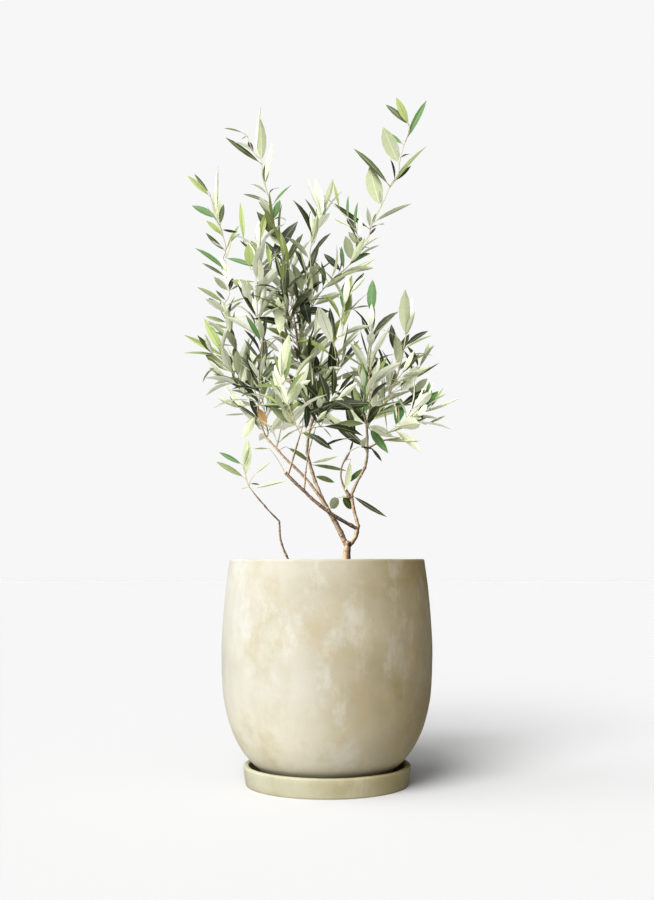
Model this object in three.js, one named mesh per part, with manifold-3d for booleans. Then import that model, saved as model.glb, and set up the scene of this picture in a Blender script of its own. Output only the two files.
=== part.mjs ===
// A young olive tree in a round-bellied cement planter on its saucer. Millimetres, +Z up.
// The origin is the centre of the saucer's flat underside, and the widest view of the tree faces -Y.
import * as THREE from 'three';
import { mergeVertices } from 'three/addons/utils/BufferGeometryUtils.js';
import Module from 'manifold-3d';

const wasm = await Module();
wasm.setup();

const GAP = 0.3; // clearance between pieces that touch
const WELD = 1e-4; // corners nearer than this are one corner

// Saucer
const SAUCER_RADIUS = 113; // at its lip
const SAUCER_FOOT_RADIUS = 110;
const SAUCER_HEIGHT = 26;
const SAUCER_WALL = 8;
const SAUCER_FLOOR = 8;
const SAUCER_EDGE = 3; // rounding of the lip and of the lower edge

// Planter
const POT_BASE = SAUCER_FLOOR + GAP;
const POT_FOOT_RADIUS = 62;
const POT_BELLY_RADIUS = 143;
const POT_BELLY_LEVEL = 170; // height of the widest place above the ground
const POT_RIM_RADIUS = 133.5;
const POT_RIM_LEVEL = 301;
const POT_WALL = 11;
const POT_LIP = 4; // rounding of the rim
const POT_DRAIN_RADIUS = 9;
const POT_SHOULDER = 2.6; // how flat the curve is near the belly
const POT_HEEL = 1.62; // how square the curve is near the foot
const TURNED_SIDES = 36;

// Soil
const SOIL_LEVEL = 272;
const SOIL_FLAT_RADIUS = 75;
const SOIL_DROP = 5; // how much lower the soil lies at the wall
const STEM_SINK = 3; // how far a stem's centreline starts below the flat cut at its foot

// Trunk
const TRUNK_FOOT = new THREE.Vector3(23.5, 0, SOIL_LEVEL - STEM_SINK);
const TRUNK_LENGTH = 48;
const TRUNK_LEAN = 5;
const TRUNK_FLARE_RADIUS = 8.5; // at the soil
const TRUNK_RADII = [6.2, 5.2, 4.9, 4.7]; // from above the root flare to the fork
const TRUNK_FLARE_SHARE = 0.24; // the share of the trunk's length that flares
const SUCKER_FOOT = new THREE.Vector3(-35, -25, SOIL_LEVEL - STEM_SINK);

const LIMB_SIDES = 6;
const LIMB_STEP = 24; // longest straight stretch of a limb
const MASS_SIDES = 7;
const MASS_RINGS = 6;
const MASS_UNEVENNESS = 0.2; // share of a mass's half width by which its surface rises and falls
const MASS_BLUNTNESS = 0.55; // 1 tapers a mass like a sine, and less keeps it fuller near its ends

// What grows on what. A limb or mass starts at a share `at` of its carrier's length and takes a way of
// equal stretches, each [lean, aim] in degrees: lean tips it from upright to +X, aim turns it to +Y.
const LIMBS = [
  { name: 'left_stem', on: 'trunk', at: 1, length: 60, way: [[-24, 0], [-30, 0]], radii: [3.9, 3.3] },
  { name: 'right_stem', on: 'trunk', at: 1, length: 36, way: [[47, 8], [24, 8], [8, 4]], radii: [3.4, 3] },
  { name: 'cross_bough', on: 'right_stem', at: 0.86, length: 130, way: [[-62, -22], [-51, -11], [-46, -12]],
    radii: [2.7, 2.2] },
  { name: 'cross_bough_rise', on: 'cross_bough', at: 0.96, length: 70, way: [[17, -16], [18, -16]],
    radii: [1.6, 1.3] },
  { name: 'cross_twig', on: 'cross_bough', at: 0.72, length: 92, way: [[4, 6], [10, 8], [16, 10]],
    radii: [1.3, 1] },
  { name: 'right_limb_foot', on: 'right_stem', at: 1, length: 44, way: [[-16, 8], [-8, 9]], radii: [2.6, 2.3] },
  { name: 'right_limb_bend', on: 'right_limb_foot', at: 1, length: 44, way: [[24, 12], [30, 12]],
    radii: [2.3, 2.1] },
  { name: 'right_limb_top', on: 'right_limb_bend', at: 1, length: 62, way: [[10, 9], [0, 6], [-3, 4]],
    radii: [2.1, 1.7] },
  { name: 'inner_twig', on: 'right_limb_foot', at: 0.85, length: 74, way: [[-34, -8], [-4, -6], [32, 0]],
    radii: [1.2, 0.9] },
  { name: 'outer_branch', on: 'right_limb_top', at: 0.45, length: 50, way: [[62, -12], [84, -8]],
    radii: [1.6, 1.3] },
  { name: 'long_bough', on: 'left_stem', at: 1, length: 138, way: [[-34, 11], [-45, 13], [-42, 14]],
    radii: [2.1, 1.6] },
  { name: 'long_bough_rise', on: 'long_bough', at: 1, length: 52, way: [[-22, 5], [-4, 4]], radii: [1.6, 1.3] },
  { name: 'leader_foot', on: 'left_stem', at: 1, length: 92, way: [[-24, 20], [-15, 20]], radii: [2.6, 2.2] },
  { name: 'leader', on: 'leader_foot', at: 1, length: 60, way: [[5, 16], [18, 10]], radii: [2.2, 1.9] },
  { name: 'leader_top', on: 'leader', at: 1, length: 146, way: [[-14, -6], [-15, -8], [-8, -10]],
    radii: [1.9, 1.5] },
  { name: 'sucker', foot: SUCKER_FOOT, length: 91, way: [[-28, -12], [-26, -12], [-4, -12]], radii: [1.6, 1.3] },
  { name: 'sucker_tip', on: 'sucker', at: 1, length: 64, way: [[-44, -14], [-38, -14]], radii: [1.3, 1] },
];

const MASSES = [
  { name: 'centre_low_leaves', on: 'leader', at: 0.9, length: 90, way: [[22, -14], [34, -15]], half: [38, 34] },
  { name: 'centre_leaves', on: 'centre_low_leaves', at: 0.8, length: 96, way: [[6, -16], [-6, -14]],
    half: [40, 34] },
  { name: 'centre_high_leaves', on: 'centre_leaves', at: 0.72, length: 92, way: [[20, -12], [14, -9]],
    half: [31, 27] },
  { name: 'left_low_leaves', on: 'long_bough', at: 0.86, length: 96, way: [[20, -12], [16, 4]], half: [30, 28] },
  { name: 'core_leaves', on: 'leader_top', at: 0.45, length: 100, way: [[-4, 12], [2, 8]], half: [30, 28] },
  { name: 'left_leaves', on: 'long_bough_rise', at: 0.7, length: 112, way: [[8, -34], [-8, -20]], half: [32, 28] },
  { name: 'far_left_low_leaves', on: 'long_bough_rise', at: 0.92, length: 148,
    way: [[-39, -14], [-44, -16], [-52, -16]], half: [38, 28] },
  { name: 'left_skirt_leaves', on: 'long_bough_rise', at: 0.45, length: 84, way: [[-52, 24], [-66, 24]],
    half: [24, 22] },
  { name: 'left_shoot_low_leaves', on: 'long_bough_rise', at: 0.97, length: 134, way: [[-24, 8], [-14, 5]],
    half: [34, 28] },
  { name: 'left_shoot_leaves', on: 'left_shoot_low_leaves', at: 0.93, length: 104, way: [[-10, 2], [-7, -3]],
    half: [42, 28] },
  { name: 'left_shoot_top_leaves', on: 'left_shoot_leaves', at: 0.86, length: 156,
    way: [[-4, -5], [-10, -8], [-24, -11], [-36, -12]], half: [32, 26] },
  { name: 'inner_left_leaves', on: 'left_leaves', at: 0.86, length: 206, way: [[-2, 6], [0, 6], [2, 5]],
    half: [32, 28] },
  { name: 'high_left_low_leaves', on: 'leader_top', at: 0.96, length: 138, way: [[-12, -8], [-15, -7]],
    half: [32, 28] },
  { name: 'high_left_leaves', on: 'high_left_low_leaves', at: 0.9, length: 108, way: [[-12, -7], [-10, -6]],
    half: [33, 26] },
  { name: 'high_left_top_leaves', on: 'high_left_leaves', at: 0.88, length: 92, way: [[-8, -7], [-1, -6]],
    half: [21, 18] },
  { name: 'high_left_side_leaves', on: 'high_left_leaves', at: 0.8, length: 112, way: [[-36, 18], [-40, 14]],
    half: [20, 17] },
  { name: 'centre_shoot_leaves', on: 'leader_top', at: 0.9, length: 116, way: [[12, -20], [17, -18]],
    half: [33, 28] },
  { name: 'centre_shoot_top_leaves', on: 'centre_shoot_leaves', at: 0.88, length: 108, way: [[14, -13], [6, -8]],
    half: [27, 23] },
  { name: 'top_shoot_low_leaves', on: 'leader_top', at: 0.94, length: 140, way: [[42, 12], [42, 10], [34, 6]],
    half: [29, 24] },
  { name: 'top_shoot_leaves', on: 'top_shoot_low_leaves', at: 0.9, length: 130, way: [[23, 0], [26, -4]],
    half: [30, 25] },
  { name: 'top_shoot_tip_leaves', on: 'top_shoot_leaves', at: 0.8, length: 156,
    way: [[16, -8], [20, -8], [34, -8]], half: [34, 25] },
  { name: 'top_side_leaves', on: 'top_shoot_leaves', at: 0.3, length: 96, way: [[-42, -25], [-24, -18]],
    half: [21, 19] },
  { name: 'right_crest_leaves', on: 'right_limb_top', at: 0.94, length: 208, way: [[4, -16], [0, -8], [-1, -6]],
    half: [36, 30] },
  { name: 'right_shoot_leaves', on: 'right_limb_top', at: 0.9, length: 206, way: [[28, 8], [18, 2], [4, -2]],
    half: [34, 28] },
  { name: 'right_flare_leaves', on: 'right_shoot_leaves', at: 0.3, length: 118, way: [[46, 16], [42, 16]],
    half: [22, 22] },
  { name: 'right_low_leaves', on: 'right_limb_top', at: 0.3, length: 86, way: [[-42, -18], [-66, -20]],
    half: [22, 20] },
  { name: 'far_right_leaves', on: 'outer_branch', at: 0.35, length: 132, way: [[52, -14], [62, -13]],
    half: [42, 30] },
  { name: 'inner_twig_leaves', on: 'inner_twig', at: 0.3, length: 66, way: [[14, -24], [6, -20]],
    half: [15, 14] },
  { name: 'front_left_leaves', on: 'cross_bough_rise', at: 0.9, length: 128,
    way: [[-28, -17], [-12, -18], [-1, -16]], half: [32, 27] },
  { name: 'front_leaves', on: 'cross_twig', at: 0.94, length: 126, way: [[34, -46], [16, -34]], half: [33, 29] },
  { name: 'front_right_leaves', on: 'right_limb_top', at: 0.8, length: 140, way: [[-10, -56], [-12, -48]],
    half: [32, 28] },
  { name: 'high_front_leaves', on: 'leader_top', at: 0.84, length: 148, way: [[-24, -58], [4, -36]],
    half: [30, 27] },
  { name: 'back_left_leaves', on: 'long_bough', at: 0.94, length: 178, way: [[-12, 38], [-10, 22]],
    half: [32, 30] },
  { name: 'back_leaves', on: 'leader', at: 0.95, length: 176, way: [[-6, 42], [-12, 22]], half: [34, 31] },
  { name: 'back_right_leaves', on: 'right_limb_top', at: 0.86, length: 172, way: [[10, 42], [-4, 26]],
    half: [32, 30] },
  { name: 'high_back_leaves', on: 'leader_top', at: 0.9, length: 172, way: [[-6, 32], [4, 16]], half: [29, 27] },
  { name: 'low_leaves', on: 'leader_foot', at: 0.66, length: 72, way: [[54, -30], [80, -24]], half: [17, 15] },
  { name: 'knee_leaves', on: 'right_limb_foot', at: 0.5, length: 56, way: [[96, -18], [124, -14]],
    half: [11, 9] },
  { name: 'sucker_leaves', on: 'sucker_tip', at: 0.9, length: 74, way: [[-16, -10], [6, -8]], half: [31, 24] },
];

const COLOURS = {
  planter: { color: '#cfc6a8', roughness: 0.85, metalness: 0 },
  saucer: { color: '#b7ae86', roughness: 0.85, metalness: 0 },
  soil: { color: '#4a3a2c', roughness: 1, metalness: 0 },
  bark: { color: '#9a7b58', roughness: 0.9, metalness: 0 },
  leaves: { color: '#7f8f62', roughness: 0.6, metalness: 0 },
};

/** The solid of a closed geometry, with its shared corners joined and its empty triangles dropped. */
function solidOf(geometry) {
  geometry.deleteAttribute('normal');
  geometry.deleteAttribute('uv');
  const joined = mergeVertices(geometry, WELD);
  const corners = joined.index.array;
  const triangles = [];
  for (let i = 0; i < corners.length; i += 3) {
    const [a, b, c] = corners.slice(i, i + 3);
    if (a !== b && b !== c && c !== a) triangles.push(a, b, c);
  }
  return new wasm.Manifold(new wasm.Mesh({
    numProp: 3,
    vertProperties: joined.attributes.position.array,
    triVerts: new Uint32Array(triangles),
  }));
}

/** The named mesh of a solid. */
function meshOf(name, solid, finish) {
  const { vertProperties, triVerts } = solid.getMesh();
  const geometry = new THREE.BufferGeometry();
  geometry.setAttribute('position', new THREE.BufferAttribute(vertProperties, 3));
  geometry.setIndex(new THREE.BufferAttribute(triVerts, 1));
  const mesh = new THREE.Mesh(geometry, new THREE.MeshStandardMaterial(finish));
  mesh.name = name;
  return mesh;
}

/** A turned solid from a profile of [radius, height] points that runs outwards and up first. */
function turned(profile) {
  const geometry = new THREE.LatheGeometry(profile, TURNED_SIDES);
  return solidOf(geometry.rotateX(Math.PI / 2));
}

/** Points on a quarter circle that rounds a corner, from one direction to the other. */
function rounding(centre, radius, fromDegrees, toDegrees, steps = 2) {
  return Array.from({ length: steps + 1 }, (_, i) => {
    const angle = THREE.MathUtils.degToRad(fromDegrees + ((toDegrees - fromDegrees) * i) / steps);
    return new THREE.Vector2(centre.x + radius * Math.cos(angle), centre.y + radius * Math.sin(angle));
  });
}

function saucer() {
  const lip = SAUCER_WALL / 2;
  return turned([
    new THREE.Vector2(0, 0),
    ...rounding(new THREE.Vector2(SAUCER_FOOT_RADIUS - SAUCER_EDGE, SAUCER_EDGE), SAUCER_EDGE, -90, 0),
    ...rounding(new THREE.Vector2(SAUCER_RADIUS - lip, SAUCER_HEIGHT - lip), lip, 0, 180, 4),
    ...rounding(new THREE.Vector2(SAUCER_FOOT_RADIUS - SAUCER_WALL - 2 * SAUCER_EDGE,
      SAUCER_FLOOR + SAUCER_EDGE), SAUCER_EDGE, 0, -90),
    new THREE.Vector2(0, SAUCER_FLOOR),
  ]);
}

/** The outside of the planter's wall, from its foot to where the rim's rounding starts. */
function planterWall() {
  const lowerSteps = 8;
  const upperSteps = 4;
  const widening = POT_BELLY_RADIUS - POT_FOOT_RADIUS;
  const lower = Array.from({ length: lowerSteps }, (_, i) => {
    const angle = (Math.PI / 2) * (1 - i / lowerSteps);
    const radius = POT_FOOT_RADIUS + widening * Math.cos(angle) ** (2 / POT_HEEL);
    const drop = (POT_BELLY_LEVEL - POT_BASE) * Math.sin(angle) ** (2 / POT_SHOULDER);
    return new THREE.Vector2(radius, POT_BELLY_LEVEL - drop);
  });
  const rise = POT_RIM_LEVEL - POT_LIP - POT_BELLY_LEVEL;
  const closing = POT_BELLY_RADIUS - POT_RIM_RADIUS;
  const arcRadius = (rise ** 2 + closing ** 2) / (2 * closing);
  const upper = Array.from({ length: upperSteps + 1 }, (_, i) => {
    const height = (rise * i) / upperSteps;
    const radius = POT_BELLY_RADIUS - arcRadius + Math.sqrt(arcRadius ** 2 - height ** 2);
    return new THREE.Vector2(radius, POT_BELLY_LEVEL + height);
  });
  return [...lower, ...upper];
}

/** A wall's profile moved towards the hollow inside it. */
function inset(wall, distance) {
  return wall.map((point, i) => {
    const below = wall[Math.max(i - 1, 0)];
    const above = wall[Math.min(i + 1, wall.length - 1)];
    const inward = new THREE.Vector2(below.y - above.y, above.x - below.x).normalize();
    return point.clone().addScaledVector(inward, distance);
  });
}

/** Every second point of a profile, with its last one, for a wall that nothing shows. */
function coarse(profile) {
  return profile.filter((_, i) => i % 2 === 0 || i === profile.length - 1);
}

function planter() {
  const wall = planterWall();
  const inner = coarse(inset(wall, POT_WALL)).reverse();
  const lip = POT_WALL / 2;
  const rim = rounding(new THREE.Vector2(wall.at(-1).x - lip, POT_RIM_LEVEL - POT_LIP), lip, 0, 180, 4);
  rim.forEach((point) => {
    point.y = Math.min(point.y, POT_RIM_LEVEL);
  });
  return turned([
    new THREE.Vector2(POT_DRAIN_RADIUS, POT_BASE),
    ...wall,
    ...rim.slice(1, -1),
    ...inner,
    new THREE.Vector2(POT_DRAIN_RADIUS, POT_BASE + POT_WALL),
    new THREE.Vector2(POT_DRAIN_RADIUS, POT_BASE),
  ]);
}

function soil() {
  const edgeLevel = SOIL_LEVEL - SOIL_DROP;
  const side = coarse(inset(planterWall(), POT_WALL + GAP));
  const covered = side.filter((point) => point.y < edgeLevel);
  const last = covered.at(-1);
  const next = side[covered.length];
  const edge = last.clone().lerp(next, (edgeLevel - last.y) / (next.y - last.y));
  return turned([
    new THREE.Vector2(0, covered[0].y),
    ...covered,
    edge,
    new THREE.Vector2(SOIL_FLAT_RADIUS, SOIL_LEVEL),
    new THREE.Vector2(0, SOIL_LEVEL),
  ]);
}

/** A direction that leans from upright towards +X and aims towards +Y, in degrees. */
function heading(lean, aim) {
  const tip = THREE.MathUtils.degToRad(lean);
  const turn = THREE.MathUtils.degToRad(aim);
  return new THREE.Vector3(Math.sin(tip) * Math.cos(turn), Math.sin(turn), Math.cos(tip) * Math.cos(turn));
}

/** The smooth centreline of a limb or mass, in equal stretches along the headings of its way. */
function pathFrom(foot, length, way) {
  const points = [foot];
  way.forEach(([lean, aim]) => {
    points.push(points.at(-1).clone().addScaledVector(heading(lean, aim), length / way.length));
  });
  return new THREE.CatmullRomCurve3(points, false, 'centripetal');
}

/** Lays a shape that stands on the Y axis, from height 0 to 1, along a path; `extra` lengthens both ends. */
function layAlong(path, geometry, extra) {
  const length = path.getLength();
  const corners = geometry.attributes.position;
  const corner = new THREE.Vector3();
  for (let i = 0; i < corners.count; i += 1) {
    corner.fromBufferAttribute(corners, i);
    const along = corner.y * (length + 2 * extra) - extra;
    const reached = THREE.MathUtils.clamp(along / length, 0, 1);
    const forward = path.getTangentAt(reached);
    const deep = new THREE.Vector3(0, 1, 0).projectOnPlane(forward).normalize();
    const across = forward.clone().cross(deep);
    const centre = path.getPointAt(reached).addScaledVector(forward, along - reached * length);
    centre.addScaledVector(across, corner.x).addScaledVector(deep, corner.z);
    corners.setXYZ(i, centre.x, centre.y, centre.z);
  }
  return geometry;
}

/** The trunk: a root flare on the soil, then an even taper to the fork. */
function trunk(path, clearance) {
  const shares = TRUNK_RADII.map((_, i) => {
    return TRUNK_FLARE_SHARE + ((1 - TRUNK_FLARE_SHARE) * i) / (TRUNK_RADII.length - 1);
  });
  const profile = [
    new THREE.Vector2(0, 0),
    new THREE.Vector2(TRUNK_FLARE_RADIUS + clearance, 0),
    ...TRUNK_RADII.map((radius, i) => new THREE.Vector2(radius + clearance, shares[i])),
    new THREE.Vector2(0, 1),
  ];
  return layAlong(path, new THREE.LatheGeometry(profile, LIMB_SIDES + 2), clearance);
}

/** A tapering limb. */
function limb(path, { radii: [foot, tip] }, clearance) {
  const steps = Math.ceil(path.getLength() / LIMB_STEP);
  const shape = new THREE.CylinderGeometry(tip + clearance, foot + clearance, 1, LIMB_SIDES, steps);
  return layAlong(path, shape.translate(0, 0.5, 0), clearance);
}

/** A mass of leaves: a closed spindle with an uneven surface, pointed at both ends. */
function mass(path, { half: [wide, thick] }, clearance, seed) {
  const ball = new THREE.SphereGeometry(1, MASS_SIDES, MASS_RINGS);
  ball.deleteAttribute('normal');
  ball.deleteAttribute('uv');
  const shape = mergeVertices(ball, WELD);
  const corners = shape.attributes.position;
  THREE.MathUtils.seededRandom(seed);
  for (let i = 0; i < corners.count; i += 1) {
    const share = Math.acos(THREE.MathUtils.clamp(-corners.getY(i), -1, 1)) / Math.PI;
    const ring = Math.hypot(corners.getX(i), corners.getZ(i)) || 1;
    const swell = 1 + MASS_UNEVENNESS * (2 * THREE.MathUtils.seededRandom() - 1);
    const reach = Math.sin(Math.PI * share) ** MASS_BLUNTNESS * swell;
    const x = (corners.getX(i) / ring) * (wide * reach + clearance);
    const z = (corners.getZ(i) / ring) * (thick * reach + clearance);
    corners.setXYZ(i, x, share, z);
  }
  return layAlong(path, shape, clearance);
}

const tree = new THREE.Group();
tree.add(meshOf('saucer', saucer(), COLOURS.saucer));
tree.add(meshOf('planter', planter(), COLOURS.planter));
tree.add(meshOf('soil', soil(), COLOURS.soil));

// Each piece is cut back from everything that was there before it, with the same gap all round. The
// first thing there is the ground: a block up to the soil's level, which gives the stems flat feet.
const ground = new THREE.BoxGeometry(2 * SOIL_FLAT_RADIUS, 2 * SOIL_FLAT_RADIUS, SOIL_LEVEL);
const paths = {};
let taken = solidOf(ground.translate(0, 0, SOIL_LEVEL / 2 + GAP));

function add(name, shape, finish) {
  const pieces = solidOf(shape(0)).subtract(taken).decompose();
  const largest = pieces.sort((a, b) => b.volume() - a.volume())[0];
  tree.add(meshOf(name, largest, finish));
  taken = taken.add(solidOf(shape(GAP)));
}

paths.trunk = pathFrom(TRUNK_FOOT, TRUNK_LENGTH, [[TRUNK_LEAN, 0]]);
add('trunk', (clearance) => trunk(paths.trunk, clearance), COLOURS.bark);

LIMBS.forEach((spec) => {
  const path = pathFrom(spec.foot ?? paths[spec.on].getPointAt(spec.at), spec.length, spec.way);
  paths[spec.name] = path;
  add(spec.name, (clearance) => limb(path, spec, clearance), COLOURS.bark);
});

MASSES.forEach((spec, i) => {
  const path = pathFrom(paths[spec.on].getPointAt(spec.at), spec.length, spec.way);
  paths[spec.name] = path;
  add(spec.name, (clearance) => mass(path, spec, clearance, i + 1), COLOURS.leaves);
});

export default tree;
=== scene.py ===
import math

import bmesh
import bpy
import numpy as np
from mathutils import Matrix, Vector, noise
from mathutils.bvhtree import BVHTree


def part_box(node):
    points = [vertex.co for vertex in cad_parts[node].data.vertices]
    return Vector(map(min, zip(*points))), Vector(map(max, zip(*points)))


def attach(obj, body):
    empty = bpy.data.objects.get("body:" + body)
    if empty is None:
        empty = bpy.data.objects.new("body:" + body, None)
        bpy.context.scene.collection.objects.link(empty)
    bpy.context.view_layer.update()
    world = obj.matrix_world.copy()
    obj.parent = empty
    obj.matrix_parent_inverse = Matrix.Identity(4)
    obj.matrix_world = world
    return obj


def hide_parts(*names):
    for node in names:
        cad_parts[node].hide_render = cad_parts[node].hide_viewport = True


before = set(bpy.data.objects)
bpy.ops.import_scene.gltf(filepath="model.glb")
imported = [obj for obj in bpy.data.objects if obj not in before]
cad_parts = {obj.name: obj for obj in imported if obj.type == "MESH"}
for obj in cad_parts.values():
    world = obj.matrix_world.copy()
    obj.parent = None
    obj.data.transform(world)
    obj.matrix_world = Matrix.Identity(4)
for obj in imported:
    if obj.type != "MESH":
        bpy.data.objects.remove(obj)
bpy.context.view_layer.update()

SEED = 41
MM = 0.001
UP = Vector((0, 0, 1))
FACING = "facing"
# The direction that the bark's painted light comes from; the side turned away gets painted shade.
PAINTED_LIGHT_FROM = Vector((-0.85, -0.4, 0.3)).normalized()

# What grows on what: limbs first, then the masses of leaves, whose shoots carry further masses.
CARRIES = {
    "trunk": ["left_stem", "right_stem"],
    "right_stem": ["cross_bough", "right_limb_foot"],
    "cross_bough": ["cross_bough_rise", "cross_twig"],
    "right_limb_foot": ["right_limb_bend", "inner_twig", "knee_leaves"],
    "right_limb_bend": ["right_limb_top"],
    "right_limb_top": [
        "outer_branch", "right_crest_leaves", "right_shoot_leaves", "right_low_leaves",
        "front_right_leaves", "back_right_leaves",
    ],
    "outer_branch": ["far_right_leaves"],
    "inner_twig": ["inner_twig_leaves"],
    "right_shoot_leaves": ["right_flare_leaves"],
    "cross_bough_rise": ["front_left_leaves"],
    "cross_twig": ["front_leaves"],
    "left_stem": ["long_bough", "leader_foot"],
    "long_bough": ["long_bough_rise", "left_low_leaves", "back_left_leaves"],
    "long_bough_rise": [
        "left_leaves", "far_left_low_leaves", "left_skirt_leaves", "left_shoot_low_leaves",
    ],
    "left_leaves": ["inner_left_leaves"],
    "left_shoot_low_leaves": ["left_shoot_leaves"],
    "left_shoot_leaves": ["left_shoot_top_leaves"],
    "leader_foot": ["leader", "low_leaves"],
    "leader": ["leader_top", "centre_low_leaves", "back_leaves"],
    "centre_low_leaves": ["centre_leaves"],
    "centre_leaves": ["centre_high_leaves"],
    "leader_top": [
        "core_leaves", "high_left_low_leaves", "centre_shoot_leaves", "top_shoot_low_leaves",
        "high_front_leaves", "high_back_leaves",
    ],
    "high_left_low_leaves": ["high_left_leaves"],
    "high_left_leaves": ["high_left_top_leaves", "high_left_side_leaves"],
    "centre_shoot_leaves": ["centre_shoot_top_leaves"],
    "top_shoot_low_leaves": ["top_shoot_leaves"],
    "top_shoot_leaves": ["top_shoot_tip_leaves", "top_side_leaves"],
    "sucker": ["sucker_tip"],
    "sucker_tip": ["sucker_leaves"],
}
CARRIER = {child: carrier for carrier, children in CARRIES.items() for child in children}

# The part of the crown that each mass belongs to: its leaves are one piece and its twigs another.
REGIONS = {
    "left": [
        "left_low_leaves", "left_leaves", "far_left_low_leaves", "left_skirt_leaves",
        "left_shoot_low_leaves", "left_shoot_leaves", "left_shoot_top_leaves", "inner_left_leaves",
    ],
    "centre": [
        "centre_low_leaves", "centre_leaves", "centre_high_leaves", "core_leaves", "low_leaves",
    ],
    "right": [
        "right_crest_leaves", "right_shoot_leaves", "right_flare_leaves", "right_low_leaves",
        "far_right_leaves", "inner_twig_leaves", "knee_leaves",
    ],
    "top_left": [
        "high_left_low_leaves", "high_left_leaves", "high_left_top_leaves",
        "high_left_side_leaves", "centre_shoot_leaves", "centre_shoot_top_leaves",
    ],
    "top_right": [
        "top_shoot_low_leaves", "top_shoot_leaves", "top_shoot_tip_leaves", "top_side_leaves",
    ],
    "front": ["front_left_leaves", "front_leaves", "front_right_leaves", "high_front_leaves"],
    "back": ["back_left_leaves", "back_leaves", "back_right_leaves", "high_back_leaves"],
    "sucker": ["sucker_leaves"],
}

# ------------------------------------------------------------------ shader expressions


class Signal:
    """An output socket. Arithmetic on it adds Math nodes to its tree."""

    def __init__(self, nodes, socket):
        self.nodes = nodes
        self.socket = socket

    def maths(self, operation, first, second):
        return self.nodes.add("Math", {"operation": operation}, {0: first, 1: second})

    def __add__(self, other):
        return self.maths("ADD", self, other)

    def __sub__(self, other):
        return self.maths("SUBTRACT", self, other)

    def __rsub__(self, other):
        return self.maths("SUBTRACT", other, self)

    def __mul__(self, other):
        return self.maths("MULTIPLY", self, other)

    __radd__ = __add__
    __rmul__ = __mul__

    def between(self, low, high):
        """0 below low, 1 above high, and a smooth rise between them."""
        inputs = {"Value": self, "From Min": low, "From Max": high}
        return self.nodes.add("MapRange", {"interpolation_type": "SMOOTHSTEP"}, inputs)


class Nodes:
    """The node tree of a material or world."""

    def __init__(self, owner):
        owner.use_nodes = True
        self.owner = owner
        self.tree = owner.node_tree

    def add(self, kind, settings=None, inputs=None, output=0):
        """Adds a node of a kind, with its settings, then the values or Signals of its sockets."""
        node = self.tree.nodes.new("ShaderNode" + kind)
        for name, value in (settings or {}).items():
            setattr(node, name, value)
        for key, value in (inputs or {}).items():
            self.feed(node.inputs[key], value)
        return Signal(self, node.outputs[output])

    def feed(self, socket, value):
        if isinstance(value, Signal):
            self.tree.links.new(value.socket, socket)
        else:
            socket.default_value = value

    def spot(self):
        """The object's own coordinates, in metres."""
        return self.add("TexCoord", output="Object")

    def clouds(self, scale, detail=3.0, roughness=0.55, stretch=(1, 1, 1)):
        """Noise from 0 to 1, with scale in cells a metre, and a stretch below 1 to draw it out."""
        place = self.add("Mapping", inputs={"Vector": self.spot(), "Scale": stretch})
        inputs = {"Vector": place, "Scale": scale, "Detail": detail, "Roughness": roughness}
        return self.add("TexNoise", inputs=inputs)

    def dots(self, scale):
        """The distance to the nearest of many scattered dots."""
        return self.add("TexVoronoi", inputs={"Vector": self.spot(), "Scale": scale})

    def place(self, axis):
        """Where a point of the object lies along an axis, in metres."""
        return self.add("SeparateXYZ", inputs={"Vector": self.spot()}, output=axis)

    def mix(self, share, first, second):
        """A colour on the way from the first to the second."""
        return self.add("Mix", {"data_type": "RGBA"}, {0: share, 6: first, 7: second}, output=2)

    def relief(self, height, distance, strength):
        inputs = {"Height": height, "Distance": distance, "Strength": strength}
        return self.add("Bump", inputs=inputs)

    def surface(self, **sockets):
        """Feeds the material's shader, with _ for the spaces in a socket's name."""
        shader = self.tree.nodes["Principled BSDF"]
        for name, value in sockets.items():
            self.feed(shader.inputs[name.replace("_", " ")], value)
        return self.owner


def paint(red, green, blue):
    """A colour given as a screen shows it, from 0 to 255."""
    return tuple(((c / 255 + 0.055) / 1.055) ** 2.4 for c in (red, green, blue)) + (1.0,)


# ------------------------------------------------------------------ finishes
PAINTED_SHADE_SPAN = (-0.14, 0.14)  # across the pot, from its side with painted light to its side with painted shade


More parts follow.
